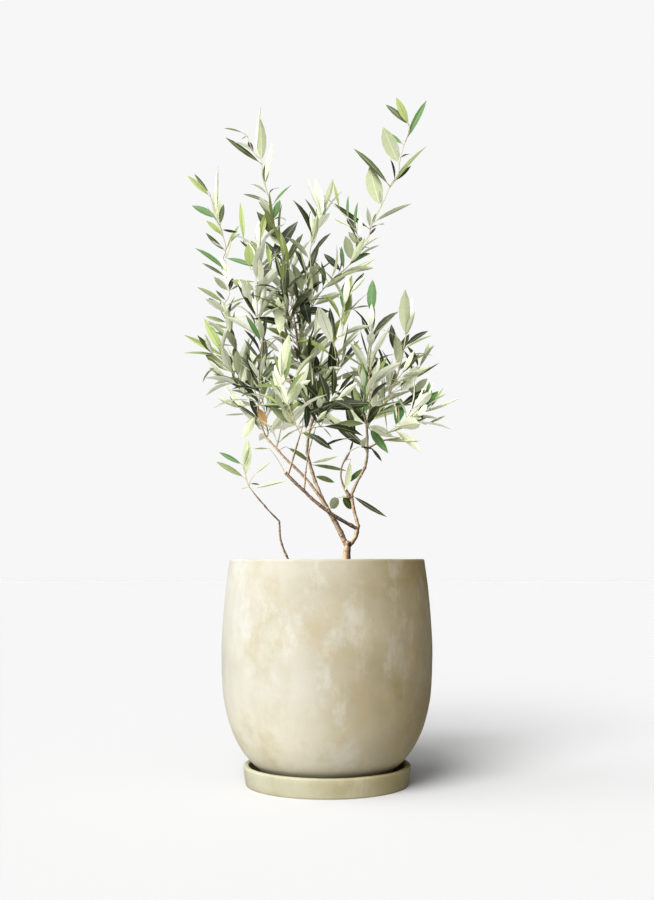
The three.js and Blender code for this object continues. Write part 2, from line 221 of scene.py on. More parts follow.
def cement(name, body, sand_and_painted_shade, lime, stain, foot, foot_top):
    """Cast cement with clouds, streaks and specks and a band of another tone at its foot; painted
    light pales one side and painted shade darkens and warms the other.
    """
    nodes = Nodes(bpy.data.materials.new(name))
    cloud = nodes.clouds(8, detail=8, roughness=0.62)
    patch = nodes.clouds(19, detail=8, roughness=0.66)
    streak = nodes.clouds(42, detail=6, roughness=0.6, stretch=(1, 1, 0.22))
    bloom = nodes.clouds(24, detail=9, roughness=0.7, stretch=(1, 1, 0.6))
    speck = nodes.clouds(700, detail=2)
    pit = nodes.clouds(300, detail=3)
    # Painted shade: 0 on the lit side of the piece, rising to 1 on its shaded side.
    painted_shade_side = nodes.place("X").between(*PAINTED_SHADE_SPAN)
    # A band of the foot tone towards the bottom: paler on the planter, darker on the saucer.
    foot_band = 1 - nodes.place("Z").between(foot_top * 0.2, foot_top)
    # Mottling between body and sand, pushed towards the sand tone on the shaded side as painted
    # shade.
    colour = nodes.mix(painted_shade_side * 0.82 + cloud * 0.9 - 0.34, body, sand_and_painted_shade)
    # The foot band is left off the shaded side, so that side keeps its painted shade.
    colour = nodes.mix(foot_band * (1 - painted_shade_side * 0.85) * (0.5 + patch * 0.5), colour, foot)
    colour = nodes.mix(patch.between(0.46, 0.74) * 0.42, colour, stain)
    colour = nodes.mix(streak.between(0.45, 0.75) * 0.16, colour, stain)
    # Lime bloom, kept mostly to the lit side, where it whitens the cement as painted light as well
    # as lime.
    lime_and_painted_light = bloom.between(0.49, 0.68) * (1 - painted_shade_side * 0.7)
    colour = nodes.mix(lime_and_painted_light * 0.5, colour, lime)
    colour = nodes.mix(speck.between(0.62, 0.74) * 0.25, colour, stain)
    grain = speck * 0.4 + pit * 0.6
    return nodes.surface(
        Base_Color=colour,
        Roughness=0.8 + 0.16 * grain,
        Specular_IOR_Level=0.3,
        Normal=nodes.relief(grain + patch * 0.5, 0.3 * MM, 0.4),
    )


def bark(name, light, mid, dark, pore_and_painted_light, painted_light_and_shade=False):
    """Young bark: patches, wrinkles and pale pores, and if asked, painted light on one side and
    painted shade on the other.
    """
    nodes = Nodes(bpy.data.materials.new(name))
    patch = nodes.clouds(45, detail=4, stretch=(1, 1, 0.35))
    wrinkle = nodes.clouds(800, detail=3, stretch=(1, 1, 0.4))
    pore = 1 - nodes.dots(380).between(0.12, 0.24)
    colour = nodes.mix(patch.between(0.38, 0.62), light, mid)
    if painted_light_and_shade:
        # Painted light: the side facing the light is paled with the pore tone. Painted shade: the
        # side turned away is darkened nearly to the dark tone.
        facing = nodes.add("Attribute", {"attribute_name": FACING}, output="Fac")
        colour = nodes.mix(facing.between(0.3, 1.0) * 0.5, colour, pore_and_painted_light)
        colour = nodes.mix((1 - facing.between(-0.15, 1.0)) * 0.92, colour, dark)
    colour = nodes.mix(wrinkle.between(0.52, 0.70) * 0.12, colour, dark)
    colour = nodes.mix(pore * 0.2, colour, pore_and_painted_light)
    return nodes.surface(
        Base_Color=colour,
        Roughness=0.6 + 0.25 * wrinkle,
        Normal=nodes.relief(wrinkle * 0.7 + pore * 0.5, 0.3 * MM, 0.6),
    )


def leaf_skin(name, colour, roughness):
    """One side of a leaf: a plain tint under a leathery, uneven sheen."""
    nodes = Nodes(bpy.data.materials.new(name))
    grain = nodes.clouds(160, detail=1)
    return nodes.surface(
        Base_Color=colour,
        Roughness=roughness + 0.14 * grain,
        Specular_IOR_Level=0.35,
        Normal=nodes.relief(grain, 0.4 * MM, 0.2),
    )


def earth(name, dark, light, crumb):
    """Moist potting mix: dark and light clods with gritty crumbs."""
    nodes = Nodes(bpy.data.materials.new(name))
    clod = nodes.clouds(150, detail=5)
    grit = nodes.clouds(900, detail=3)
    colour = nodes.mix(clod.between(0.35, 0.65), dark, light)
    colour = nodes.mix(grit.between(0.56, 0.68) * 0.6, colour, crumb)
    return nodes.surface(
        Base_Color=colour,
        Roughness=0.88 + 0.1 * grit,
        Normal=nodes.relief(grit + clod, 0.8 * MM, 0.8),
    )


# Each sand tone is also the painted shade on the dark side of its piece.
PLANTER_FINISH = cement(
    "planter_cement", body=paint(179, 177, 166), sand_and_painted_shade=paint(118, 104, 67),
    lime=paint(186, 185, 180), stain=paint(148, 134, 96), foot=paint(214, 206, 180),
    foot_top=0.15,
)
SAUCER_FINISH = cement(
    "saucer_cement", body=paint(166, 164, 144), sand_and_painted_shade=paint(130, 119, 81),
    lime=paint(176, 172, 152), stain=paint(124, 114, 76), foot=paint(150, 146, 120),
    foot_top=0.01,
)
# The limbs' pale pore tone also paints their lit side, and their dark tone paints their shaded
# side.
BARK_FINISH = bark(
    "limb_bark", light=paint(202, 168, 134), mid=paint(156, 116, 86), dark=paint(46, 36, 25),
    pore_and_painted_light=paint(214, 200, 164), painted_light_and_shade=True,
)
TWIG_FINISH = bark(
    "twig_bark", light=paint(186, 176, 134), mid=paint(164, 148, 108), dark=paint(120, 102, 70),
    pore_and_painted_light=paint(206, 198, 166),
)
SOIL_FINISH = earth("potting_soil", paint(46, 35, 27), paint(76, 59, 44), paint(112, 92, 70))
GRIT_FINISH = earth("soil_grit", paint(92, 74, 56), paint(138, 120, 96), paint(170, 156, 134))

# Tints of a leaf's upper side, of its underside and of its midrib, with their roughness.
LEAF_TINTS = {
    name: leaf_skin(f"leaf_{name}", paint(*tint), roughness)
    for name, tint, roughness in (
        ("deep", (28, 36, 8), 0.5),
        ("olive", (52, 64, 19), 0.5),
        ("green", (60, 98, 42), 0.5),
        ("grey", (105, 117, 70), 0.52),
        ("fresh", (137, 151, 84), 0.5),
        ("moss", (159, 166, 130), 0.62),
        ("sage", (191, 197, 160), 0.62),
        ("silver", (228, 232, 201), 0.62),
        ("pale", (243, 246, 221), 0.66),
        ("top_rib", (104, 114, 66), 0.5),
        ("under_rib", (192, 196, 150), 0.6),
        ("dry", (190, 152, 98), 0.6),
    )
}
TINT_PLACE = {name: i for i, name in enumerate(LEAF_TINTS)}

# ------------------------------------------------------------------ pieces


def piece_from(name, mesh, finishes, replaced=(), crease=50):
    """Makes a mesh a smooth piece of the part, in place of its CAD nodes."""
    mesh.name = name
    mesh.shade_smooth()
    mesh.set_sharp_from_angle(angle=math.radians(crease))
    for finish in finishes:
        mesh.materials.append(finish)
    piece = placed(name, mesh)
    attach(piece, "root")
    if replaced:
        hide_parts(*replaced)


def placed(name, data):
    """A new object in the scene, at the origin."""
    thing = bpy.data.objects.new(name, data)
    bpy.context.scene.collection.objects.link(thing)
    return thing


def mesh_of(bm):
    mesh = bpy.data.meshes.new("mesh")
    bm.to_mesh(mesh)
    bm.free()
    return mesh


class Shape:
    """A bmesh's corners, faces and materials as arrays, to be laid many times into a Heap."""

    def __init__(self, bm):
        bm.verts.index_update()
        self.spots = np.array([v.co for v in bm.verts])
        self.corners = np.array([v.index for f in bm.faces for v in f.verts])
        self.sizes = np.array([len(f.verts) for f in bm.faces])
        self.kinds = np.array([f.material_index for f in bm.faces])
        bm.free()


class Heap:
    """Many small shapes gathered into one mesh."""

    def __init__(self):
        self.copies = []
        self.count = 0

    def add(self, shape, matrix=Matrix(), tints=(0,)):
        """Lays a copy of a shape, with a material of the mesh for each kind of its faces."""
        grid = np.array(matrix)
        spots = shape.spots @ grid[:3, :3].T + grid[:3, 3]
        kinds = np.array(tints)[shape.kinds]
        self.copies.append((spots, shape.corners + self.count, shape.sizes, kinds))
        self.count += len(spots)

    def mesh(self):
        spots, corners, sizes, kinds = (np.concatenate(column) for column in zip(*self.copies))
        mesh = bpy.data.meshes.new("mesh")
        mesh.vertices.add(len(spots))
        mesh.vertices.foreach_set("co", spots.ravel())
        mesh.loops.add(len(corners))
        mesh.loops.foreach_set("vertex_index", corners)
        mesh.polygons.add(len(sizes))
        mesh.polygons.foreach_set("loop_start", np.cumsum(sizes) - sizes)
        mesh.polygons.foreach_set("material_index", kinds)
        mesh.update(calc_edges=True)
        return mesh


def extruded(bm, cap, move):
    """Extrudes a cap, moves it by a matrix, and gives the new cap."""
    grown = bmesh.ops.extrude_face_region(bm, geom=[cap])["geom"]
    ring = [e for e in grown if isinstance(e, bmesh.types.BMVert)]
    bmesh.ops.transform(bm, matrix=move, verts=ring)
    return next(e for e in grown if isinstance(e, bmesh.types.BMFace))


def disc(bm, sides, matrix):
    """A filled circle of radius 1, laid by a matrix."""
    ring = bmesh.ops.create_circle(bm, cap_ends=True, segments=sides, radius=1, matrix=matrix)
    return ring["verts"][0].link_faces[0]


def tube(bm, points, radii, sides):
    """A closed limb: a disc at its foot, extruded from point to point to a cap at its tip."""
    points = [Vector(p) for p in points]
    last = len(points) - 1
    headings = [
        (points[min(i + 1, last)] - points[max(i - 1, 0)]).normalized() for i in range(last + 1)
    ]
    turn = UP.rotation_difference(headings[0])
    here = Matrix.LocRotScale(points[0], turn, Vector.Fill(3, radii[0]))
    cap = disc(bm, sides, here)
    for i in range(1, last + 1):
        turn = headings[i - 1].rotation_difference(headings[i]) @ turn
        there = Matrix.LocRotScale(points[i], turn, Vector.Fill(3, radii[i]))
        cap = extruded(bm, cap, there @ here.inverted())
        here = there


def turned(profile, steps):
    """A solid turned round the Z axis from a profile of (radius, height) points."""
    bm = bmesh.new()
    verts = [bm.verts.new((radius, 0, height)) for radius, height in profile]
    edges = [bm.edges.new(pair) for pair in zip(verts, verts[1:])]
    if profile[0][0] > 0:
        edges.append(bm.edges.new((verts[-1], verts[0])))
    bmesh.ops.spin(
        bm, geom=verts + edges, axis=UP, cent=(0, 0, 0), angle=math.tau, steps=steps,
        use_merge=True,
    )
    bmesh.ops.remove_doubles(bm, verts=bm.verts, dist=0.001 * MM)
    bmesh.ops.recalc_face_normals(bm, faces=bm.faces)
    return bm


def rounding(radius, height, size, start, stop, steps=5):
    """Points on an arc of a corner whose centre is at a radius and height, in degrees."""
    angles = np.radians(np.linspace(start, stop, steps + 1))
    return [(radius + size * math.cos(a), height + size * math.sin(a)) for a in angles]


def roughen(bm, *layers):
    """Moves each corner along its normal by noise, for each (depth, cells a metre) layer."""
    bm.normal_update()
    moves = [
        vert.normal * sum(depth * noise.noise(vert.co * scale) for depth, scale in layers)
        for vert in bm.verts
    ]
    for vert, move in zip(bm.verts, moves):
        vert.co += move


def settle(bm, level):
    """Keeps a turned piece's foot flat."""
    for vert in bm.verts:
        if vert.co.z < level + FOOT_SLACK:
            vert.co.z = level


# ------------------------------------------------------------------ reading the CAD nodes
SKIN_POINTS = 1500


def corners_of(node):
    return np.array([v.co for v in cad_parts[node].data.vertices])


def skin_points(node):
    """Points spread evenly over a node's surface."""
    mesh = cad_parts[node].data
    mesh.calc_loop_triangles()
    corners = corners_of(node)[np.array([t.vertices for t in mesh.loop_triangles])]
    sides = corners[:, 1:] - corners[:, :1]
    areas = np.linalg.norm(np.cross(sides[:, 0], sides[:, 1]), axis=1)
    spread = np.random.default_rng(SEED)
    picked = spread.choice(len(corners), SKIN_POINTS, p=areas / areas.sum())
    share = spread.random((SKIN_POINTS, 2))
    outside = share.sum(axis=1) > 1
    share[outside] = 1 - share[outside]
    return corners[picked, 0] + (sides[picked] * share[:, :, None]).sum(axis=1)


def spine(node, start, slices):
    """The centreline and mean radii of a limb or mass, from its end that is nearer to start."""
    points = skin_points(node)
    middle = points.mean(axis=0)
    axis = np.linalg.svd(points - middle, full_matrices=False)[2][0]
    if (np.array(start) - middle) @ axis > 0:
        axis = -axis
    along = (points - middle) @ axis
    edges = np.linspace(along.min(), along.max(), slices + 1)
    centres = []
    radii = []
    for low, high in zip(edges, edges[1:]):
        ring = points[(along >= low) & (along <= high)]
        spokes = ring - ring.mean(axis=0)
        spokes -= np.outer(spokes @ axis, axis)
        centres.append(ring.mean(axis=0))
        radii.append(np.linalg.norm(spokes, axis=1).mean())
    half = (edges[1] - edges[0]) / 2
    first = beyond(centres[1], centres[0], half)
    last = beyond(centres[-2], centres[-1], half)
    return [first, *centres, last], [radii[0], *radii, radii[-1]]


def beyond(before, end, length):
    """The point a length past the end of a line."""
    return end + (end - before) / np.linalg.norm(end - before) * length


class Path:
    """A centreline as a smooth curve in even steps, with its radius at each step."""

    def __init__(self, points, radii, step):
        points = np.array(points, float)
        gaps = np.linalg.norm(np.diff(points, axis=0), axis=1)
        marks = np.concatenate([[0], np.cumsum(gaps)])
        longer = np.vstack([2 * points[0] - points[1], points, 2 * points[-1] - points[-2]])
        self.length = marks[-1]
        self.marks = np.linspace(0, self.length, max(3, round(self.length / step) + 1))
        span = np.searchsorted(marks, self.marks, side="right") - 1
        span = np.clip(span, 0, len(gaps) - 1)
        t = ((self.marks - marks[span]) / gaps[span])[:, None]
        a, b, c, d = (longer[span + i] for i in range(4))
        square = 2 * a - 5 * b + 4 * c - d
        cube = 3 * b - a - 3 * c + d
        self.points = b + 0.5 * ((c - a) * t + square * t**2 + cube * t**3)
        self.radii = np.interp(self.marks, marks, radii)

    def at(self, distance):
        return Vector([np.interp(distance, self.marks, line) for line in self.points.T])

    def radius(self, distance):
        return float(np.interp(distance, self.marks, self.radii))

    def heading(self, distance):
        reach = 0.03 * self.length
        middle = min(max(distance, reach), self.length - reach)
        return (self.at(middle + reach) - self.at(middle - reach)).normalized()

    def nearest(self, point):
        """How far along the path it comes closest to a point."""
        gaps = np.linalg.norm(self.points - np.array(point), axis=1)
        return float(self.marks[gaps.argmin()])


def near_end(node, path):
    """The point of a node's surface that is closest to a path."""
    points = skin_points(node)
    gaps = np.linalg.norm(points[:, None] - path.points[None, ::2], axis=2).min(axis=1)
    return points[gaps.argmin()]


def square_to(heading, angle):
    """A direction square to a heading, turned round it by an angle."""
    side = heading.cross(Vector((0.3, 1, 0.1))).normalized()
    return Matrix.Rotation(angle, 3, heading) @ side


def leaning(heading, out, lean):
    """The direction that leans from a heading by an angle, towards one square to it."""
    return heading * math.cos(lean) + out * math.sin(lean)


# ------------------------------------------------------------------ planter, saucer and soil
TURN_STEPS = 144
SOIL_STEPS = 96
SOIL_RINGS = 33
PLANTER_WALL = 11 * MM
PLANTER_LIP = 2.6 * MM
DRAIN_RADIUS = 9 * MM
SAUCER_WALL = 8 * MM
SAUCER_FLOOR = 8 * MM
SAUCER_LIP = 2.4 * MM
SAUCER_FLARE = 3 * MM
LONG_EDGE = 9 * MM  # edges of the saucer above this length are cut up, to take its unevenness
FOOT_SLACK = 0.6 * MM
SOIL_CROWN = 5 * MM  # how far the middle of the soil stands above its edge
SOIL_LUMPS_MOST = 1.2  # in millimetres
CRUMBS = 1500
CRUMB_SIZES = (0.7, 2.4)  # in millimetres
PALE_CRUMBS = 0.45  # the share of them that is grit


def outside_of(node):
    """The outline of a turned node whose outside bulges everywhere, as (radius, height) upwards."""
    corners = corners_of(node)
    reach = np.hypot(corners[:, 0], corners[:, 1])
    outline = []
    for level in np.unique(corners[:, 2].round(6)):
        point = (reach[np.abs(corners[:, 2] - level) < 1e-5].max(), level)
        while len(outline) > 1 and hollow(outline[-2], outline[-1], point):
            outline.pop()
        outline.append(point)
    return outline


def hollow(before, middle, after):
    """Whether the middle point lies inside the straight line between its neighbours."""
    rise = (middle[0] - before[0]) * (after[1] - before[1])
    return rise < (after[0] - before[0]) * (middle[1] - before[1])


def make_planter():
    base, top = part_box("planter")
    wall = [p for p in outside_of("planter") if p[1] < top.z - PLANTER_LIP * 1.5]
    smooth = Path([(r, 0, z) for r, z in wall], [1] * len(wall), 3 * MM).points[:, [0, 2]]
    slopes = np.gradient(smooth, axis=0)
    slopes /= np.linalg.norm(slopes, axis=1)[:, None]
    inner = smooth + np.stack([-slopes[:, 1], slopes[:, 0]], axis=1) * PLANTER_WALL
    inner = [tuple(p) for p in inner[::-1] if p[1] > base.z + PLANTER_WALL]
    foot = smooth[0][0]
    rim = smooth[-1][0]
    lip_level = top.z - PLANTER_LIP
    bm = turned([
        (DRAIN_RADIUS, base.z),
        *rounding(foot - PLANTER_LIP, base.z + PLANTER_LIP, PLANTER_LIP, -90, -40),
        *[tuple(p) for p in smooth if p[1] > base.z + PLANTER_LIP],
        *rounding(rim - PLANTER_LIP, lip_level, PLANTER_LIP, 20, 90),
        *rounding(rim - PLANTER_WALL + PLANTER_LIP, lip_level, PLANTER_LIP, 90, 180),
        *inner[1:],
        (DRAIN_RADIUS, base.z + PLANTER_WALL),
    ], TURN_STEPS)
    roughen(bm, (0.5 * MM, 14), (0.12 * MM, 90))
    settle(bm, base.z)
    piece_from("planter_pot", mesh_of(bm), [PLANTER_FINISH], ["planter"])


def make_saucer():
    base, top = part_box("saucer")
    foot = top.x - SAUCER_FLARE
    inner = top.x - SAUCER_WALL
    bm = turned([
        (0, base.z),
        *rounding(foot - SAUCER_LIP, base.z + SAUCER_LIP, SAUCER_LIP, -90, 0),
        *rounding(top.x - SAUCER_LIP, top.z - SAUCER_LIP, SAUCER_LIP, 0, 90),
        *rounding(inner + SAUCER_LIP, top.z - SAUCER_LIP, SAUCER_LIP, 90, 180),
        *rounding(inner - 2 * SAUCER_LIP, SAUCER_FLOOR + SAUCER_LIP, SAUCER_LIP, 0, -90),
        (0, SAUCER_FLOOR),
    ], TURN_STEPS)
    bmesh.ops.subdivide_edges(
        bm, edges=[e for e in bm.edges if e.calc_length() > LONG_EDGE], cuts=3,
        use_grid_fill=True,
    )
    roughen(bm, (0.3 * MM, 20), (0.12 * MM, 110))
    settle(bm, base.z)
    piece_from("saucer_dish", mesh_of(bm), [SAUCER_FINISH], ["saucer"])


def soil_rim(level):
    """The soil's radius where its top meets the planter's wall."""
    outline = np.array(outside_of("soil"))
    return float(np.interp(level - MM, outline[:, 1], outline[:, 0]))


def make_soil():
    base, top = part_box("soil")
    edge_level = top.z - SOIL_CROWN
    radii = np.linspace(0, 1, SOIL_RINGS + 1)[1:] ** 0.8
    surface = [(soil_rim(edge_level) * s, top.z - SOIL_CROWN * s**3) for s in radii]
    wall = [p for p in outside_of("soil") if p[1] < edge_level - MM]
    bm = turned([(0, top.z), *surface, *wall[::-1], (0, base.z)], SOIL_STEPS)
    for vert in bm.verts:
        if vert.co.z > edge_level - MM:
            lumps = 1.5 * noise.noise(vert.co * 60) + 0.9 * noise.noise(vert.co * 190)
            vert.co.z += min(lumps, SOIL_LUMPS_MOST) * MM
    piece_from("soil_bed", mesh_of(bm), [SOIL_FINISH], ["soil"])


def make_grit():
    """Crumbs of bark and grit that lie on the soil."""
    _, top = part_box("soil")
    draw = np.random.default_rng(SEED)
    heap = Heap()
    bm = bmesh.new()
    bmesh.ops.create_icosphere(bm, subdivisions=1, radius=1)
    crumb = Shape(bm)
    rim = soil_rim(top.z - SOIL_CROWN)
    for _ in range(CRUMBS):
        reach = 0.97 * math.sqrt(draw.random())
        angle = math.tau * draw.random()
        size = draw.uniform(*CRUMB_SIZES) * draw.uniform(0.6, 1.2) * MM
        flat = Vector((size * draw.uniform(0.7, 1.5), size, size * draw.uniform(0.4, 0.8)))
        spot = Vector((rim * reach * math.cos(angle), rim * reach * math.sin(angle), 0))
        spot.z = top.z - SOIL_CROWN * reach**3 + 0.3 * size
        turn = Matrix.Rotation(math.tau * draw.random(), 4, "Z")
        tilt = Matrix.Rotation(draw.normal(0, 0.5), 4, "X")
        matrix = Matrix.Translation(spot) @ turn @ tilt @ Matrix.Diagonal(flat).to_4x4()
        heap.add(crumb, matrix, [int(draw.random() < PALE_CRUMBS)])
    piece_from("soil_crumbs", heap.mesh(), [SOIL_FINISH, GRIT_FINISH], crease=30)


# ------------------------------------------------------------------ trunk and boughs
BARK_STEP = 1.5 * MM
LIMB_SIDES = 12
LIMB_SLICE = 14 * MM
BARK_VOXEL = 0.52 * MM
BARK_RELIEF = ((0.34 * MM, 160), (0.22 * MM, 420), (0.12 * MM, 900))
FACETED = 1.07  # how much rounder a limb is than its six-sided CAD solid
TRUNK_SWELL = (1.3, 1.08)  # how much thicker the trunk is at its foot and at its fork
END_TAPER = 0.55  # how thick a limb with no further limb on it still is at its end
TAPER_LENGTH = 30 * MM
JOINT_GAP = 17 * MM
JOINT_WANDER = 2 * MM
JOINT_HALF = 1.7 * MM
WAVE_DEPTH = 0.05  # of a limb's radius
WAVE_LENGTH = 9 * MM
STUB_GAP = 45 * MM
SAWN_STUB = Vector((1.5, -3.5, 9)) * MM

paths = {}


def is_limb(node):
    return not node.endswith("_leaves")


def limb_order():
    """Every limb, each after its carrier."""
    order = ["trunk", "sucker"]
    for node in order:
        order += [n for n in CARRIES.get(node, []) if is_limb(n)]
    return order


def trace_limb(node):
    """Finds a limb's path, from inside its carrier to its tip."""
    low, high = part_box(node)
    slices = max(3, round((high - low).length / LIMB_SLICE))
    carrier = paths.get(CARRIER.get(node))
    if carrier is None:
        centres, radii = spine(node, (low + high) / 2 - UP, slices)
        centres = [centres[0] - np.array([0, 0, 4 * MM]), *centres[1:]]
    else:
        centres, radii = spine(node, near_end(node, carrier), slices)
        seat = carrier.at(carrier.nearest(centres[0]))
        centres = [np.array(seat), *centres]
        radii = [radii[0] * 1.1, *radii]
    path = Path(centres, np.array(radii) * FACETED, BARK_STEP)
    if node == "trunk":
        path.radii *= np.interp(path.marks, [0, path.length], TRUNK_SWELL)
    if not any(is_limb(n) for n in CARRIES.get(node, [])):
        path.radii *= np.interp(path.length - path.marks, [0, TAPER_LENGTH], [END_TAPER, 1])
    paths[node] = path


def knotted(path, draw):
    """A limb's radii with slow waves and a swelling at each old leaf joint."""
    joints = np.arange(draw.uniform(6, 12) * MM, path.length, JOINT_GAP)
    joints += draw.normal(0, JOINT_WANDER, len(joints))
    bumps = np.exp(-(((path.marks[:, None] - joints) / JOINT_HALF) ** 2)).sum(axis=1)
    waves = WAVE_DEPTH * np.sin(path.marks / WAVE_LENGTH + draw.uniform(0, 6))
    swell = np.minimum(bumps, 1) * np.interp(path.radii, [1.2 * MM, 5 * MM], [0.2, 0.06])
    return path.radii * (1 + waves + swell)


def add_stub(bm, path, draw):
    """The stub of a lost side twig."""
    distance = path.length * draw.uniform(0.12, 0.9)
    heading = path.heading(distance)
    out = square_to(heading, math.tau * draw.random())
    foot = path.at(distance)
    radius = path.radius(distance)
    lean = (heading * 0.5 + out).normalized()
    size = radius * draw.uniform(0.32, 0.45)
    tip = foot + lean * (radius + draw.uniform(0.8, 2.2) * MM)
    tube(bm, [foot, foot.lerp(tip, 0.6), tip], [size * 1.3, size, size * 0.85], 8)


def add_sawn_stub(bm):
    """The sawn-off stub in the trunk's fork."""
    trunk = paths["trunk"]
    foot = trunk.at(trunk.length - 2 * MM)
    tip = foot + SAWN_STUB
    tube(bm, [foot, foot.lerp(tip, 0.5), tip], [3.6 * MM, 3.3 * MM, 3.1 * MM], LIMB_SIDES)


def remeshed(mesh, size):
    """A mesh whose overlapping solids are made one skin, as a bmesh."""
    body = placed("remesh", mesh)
    modifier = body.modifiers.new("remesh", "REMESH")
    modifier.mode = "VOXEL"
    modifier.voxel_size = size
    shaped = body.evaluated_get(bpy.context.evaluated_depsgraph_get())
    bm = bmesh.new()
    bm.from_mesh(bpy.data.meshes.new_from_object(shaped))
    bpy.data.objects.remove(body)
    return bm


def make_wood():
    """Trunk and boughs as one body of bark: limbs joined by remeshing, then given their relief."""
    order = limb_order()
    limbs = bmesh.new()
    for i, node in enumerate(order):
        trace_limb(node)
        path = paths[node]
        draw = np.random.default_rng([SEED, i])
        tube(limbs, path.points, knotted(path, draw), LIMB_SIDES)
        for _ in range(int(path.length / STUB_GAP)):
            add_stub(limbs, path, draw)
    add_sawn_stub(limbs)
    bmesh.ops.recalc_face_normals(limbs, faces=limbs.faces)
    bm = remeshed(mesh_of(limbs), BARK_VOXEL)
    for _ in range(2):
        bmesh.ops.smooth_vert(
            bm, verts=bm.verts, factor=0.5, use_axis_x=True, use_axis_y=True, use_axis_z=True
        )
    roughen(bm, *BARK_RELIEF)
    bm.normal_update()
    # How far each point faces the painted light, which the bark's painted light and shade read.
    facing = bm.verts.layers.float.new(FACING)
    for vert in bm.verts:
        vert[facing] = vert.normal.dot(PAINTED_LIGHT_FROM)
    piece_from("trunk_and_boughs", mesh_of(bm), [BARK_FINISH], order)


# ------------------------------------------------------------------ leaves
TOP, UNDER, TOP_RIB, UNDER_RIB = range(4)
LEAF_RINGS = (0, 0.09, 0.22, 0.4, 0.6, 0.8, 1)
STALK_SHARE = 0.09
STALK_HALF = 0.011
RIB_HALF = 0.007
LEAF_DEPTH = 0.006
TIP_HALF = 0.004


def blade_half(t, width, fullness):
    """Half the width of a leaf at a share of its length."""
    if t <= STALK_SHARE:
        return STALK_HALF
    blade = (t - STALK_SHARE) / (1 - STALK_SHARE)
    return max(0.5 * width * math.sin(math.pi * blade**0.95) ** fullness, TIP_HALF)


def leaf_shape(width, bend=0.3, twist=0.0, fold=0.3, fullness=0.8):
    """A closed leaf of length 1 along +Y, upper side to +Z: a flat tube of six sides."""
    bm = bmesh.new()
    cap = disc(bm, 6, Matrix(((0, 1, 0, 0), (0, 0, 1, 0), (1, 0, 0, 0), (0, 0, 0, 1))))
    for low, high in zip(LEAF_RINGS, LEAF_RINGS[1:]):
        cap = extruded(bm, cap, Matrix.Translation((0, high - low, 0)))
    bmesh.ops.recalc_face_normals(bm, faces=bm.faces)
    for face in bm.faces:
        middle = face.calc_center_median()
        kinds = (TOP_RIB, UNDER_RIB) if abs(middle.x) < 0.4 else (TOP, UNDER)
        face.material_index = kinds[middle.z < 0]
    for vert in bm.verts:
        side, t, level = vert.co
        half = blade_half(t, width, fullness)
        margin = abs(side) > 0.9
        across = math.copysign(half if margin else min(half, RIB_HALF), side)
        lift = half * fold if margin else math.copysign(LEAF_DEPTH * (1.2 - t), level)
        roll = twist * t
        x = across * math.cos(roll) - lift * math.sin(roll)
        z = across * math.sin(roll) + lift * math.cos(roll)
        arc = bend * t**1.3
        vert.co = (x, t * math.cos(arc / 2) + z * math.sin(arc),
                   z * math.cos(arc) - t * math.sin(arc / 2))
    blade = [f for f in bm.faces if f.material_index in (TOP, UNDER)]
    bmesh.ops.triangulate(bm, faces=blade, quad_method="SHORT_EDGE")
    return Shape(bm)


LEAF_SHAPES = [
    leaf_shape(0.21, bend=0.25),
    leaf_shape(0.24, bend=0.5, fold=0.22),
    leaf_shape(0.17, bend=-0.2, fold=0.35),
    leaf_shape(0.21, bend=0.35, twist=0.6),
    leaf_shape(0.21, bend=0.35, twist=-0.6),
    leaf_shape(0.27, bend=0.15, fold=0.15),
    leaf_shape(0.16, bend=0.65, fold=0.4),
    leaf_shape(0.28, bend=0.4, twist=0.3, fold=0.2),
]
YOUNG_SHAPE = leaf_shape(0.21, bend=-0.15, fold=0.5)
SET_SHAPES = {
    "thread": leaf_shape(0.07, bend=0.5, fold=0.6),
    "slim": leaf_shape(0.115, bend=0.3, twist=0.3),
    "even": leaf_shape(0.17, bend=0.25, twist=-0.2),
    "broad": leaf_shape(0.25, bend=0.2, fold=0.2),
    "wide": leaf_shape(0.38, bend=0.15, fold=0.12, fullness=0.7),
    "blunt": leaf_shape(0.48, bend=0.2, fold=0.15, fullness=0.55),
    "round": leaf_shape(0.86, bend=0.1, fold=0.08, fullness=0.5),
}

